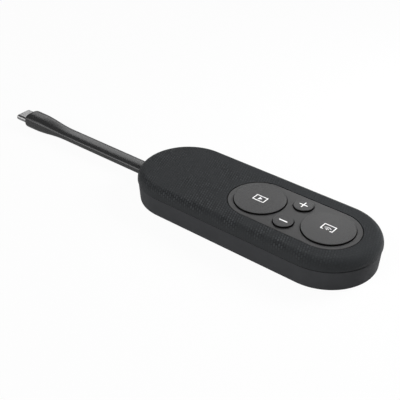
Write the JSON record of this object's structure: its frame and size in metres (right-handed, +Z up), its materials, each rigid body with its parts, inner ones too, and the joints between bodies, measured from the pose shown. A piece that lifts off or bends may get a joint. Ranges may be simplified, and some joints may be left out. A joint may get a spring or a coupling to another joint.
{
  "type": "wireless presentation button",
  "caption": "Slim stadium-shaped wireless presentation button with large press keys, small volume keys and a short flat cable to a reversible data plug.",
  "frame": {"origin": "bottom centre of the body without its cable, on the table plane under the rubber pad", "axes": "+X along the body towards the button end, +Y across the body to the volume-up side, +Z up out of the buttons; the cable leaves towards -X"},
  "size_m": [0.1934, 0.042, 0.0138],
  "materials": {
    "cover_texture": "fine woven texture, matt black",
    "shell_plastic": "fine spark finish, matt black",
    "panel_satin": "satin black",
    "cap_satin": "satin black, faintly polished",
    "mark_white": "translucent white inlay",
    "pad_rubber": "matt, fine pitted",
    "tape": "double-sided tape",
    "frame_plastic": "moulded",
    "steel": "zinc plated",
    "board": "green solder mask",
    "can_steel": "tin plated",
    "chip": "moulded package",
    "thermal_grey": "soft filled silicone",
    "spreader": "natural, sawn and deburred",
    "ceramic": "fired ceramic",
    "ferrite": "moulded ferrite",
    "switch_case": "moulded",
    "dome_steel": "bright spring steel",
    "plunger": "moulded",
    "connector": "natural nylon",
    "wire": "extruded insulation",
    "cable_jacket": "satin elastomer",
    "grommet": "matt",
    "grip": "satin overmould",
    "plug_steel": "nickel plated",
    "insert": "moulded",
    "contact_gold": "gold plated"
  },
  "bodies": {
    "housing": {"bottom_housing": "shell_plastic", "top_cover": "cover_texture", "base_pad": "pad_rubber", "pad_tape": "tape", "housing_screws": "steel", "control_panel": "panel_satin", "panel_glue": "tape", "button_frame": "frame_plastic", "frame_screws": "steel", "switch_terminals": "can_steel", "main_board": "board", "board_screws": "steel", "rf_shield": "can_steel", "processor": "chip", "memory_chip": "chip", "thermal_pad": "thermal_grey", "heat_spreader": "spreader", "wireless_module": "can_steel", "antenna_near": "can_steel", "antenna_far": "can_steel", "power_inductor": "ferrite", "crystal": "can_steel", "board_capacitors": "ceramic", "cable_header": "connector", "cable_socket": "connector", "inner_wires": "wire", "cable_tail": "cable_jacket", "cable_grommet": "grommet", "cable_clamp": "steel", "clamp_screws": "steel", "cable": "cable_jacket", "plug_grip": "grip", "plug_shell": "plug_steel", "plug_insulator": "insert", "plug_contacts": "contact_gold", "plug_card": "board", "present_dome": "dome_steel", "present_switch": "switch_case", "share_dome": "dome_steel", "share_switch": "switch_case", "volume_up_dome": "dome_steel", "volume_up_switch": "switch_case", "volume_down_dome": "dome_steel", "volume_down_switch": "switch_case"},
    "present_button": {"present_cap": "cap_satin", "present_mark": "mark_white", "present_plunger": "plunger"},
    "share_button": {"share_cap": "cap_satin", "share_mark": "mark_white", "share_plunger": "plunger"},
    "volume_up_button": {"volume_up_cap": "cap_satin", "volume_up_mark": "mark_white", "volume_up_plunger": "plunger"},
    "volume_down_button": {"volume_down_cap": "cap_satin", "volume_down_mark": "mark_white", "volume_down_plunger": "plunger"}
  },
  "joints": [
    {"name": "present_press", "type": "slide", "parent": "housing", "child": "present_button", "axis": [0, 0, -1], "range_m": [0, 0.0005], "stiffness_N_per_m": 4000, "springref_m": -0.00005, "deforming": ["present_dome"]},
    {"name": "share_press", "type": "slide", "parent": "housing", "child": "share_button", "axis": [0, 0, -1], "range_m": [0, 0.0005], "stiffness_N_per_m": 4000, "springref_m": -0.00005, "deforming": ["share_dome"]},
    {"name": "volume_up_press", "type": "slide", "parent": "housing", "child": "volume_up_button", "axis": [0, 0, -1], "range_m": [0, 0.0004], "stiffness_N_per_m": 3600, "springref_m": -0.00005, "deforming": ["volume_up_dome"]},
    {"name": "volume_down_press", "type": "slide", "parent": "housing", "child": "volume_down_button", "axis": [0, 0, -1], "range_m": [0, 0.0004], "stiffness_N_per_m": 3600, "springref_m": -0.00005, "deforming": ["volume_down_dome"]}
  ]
}
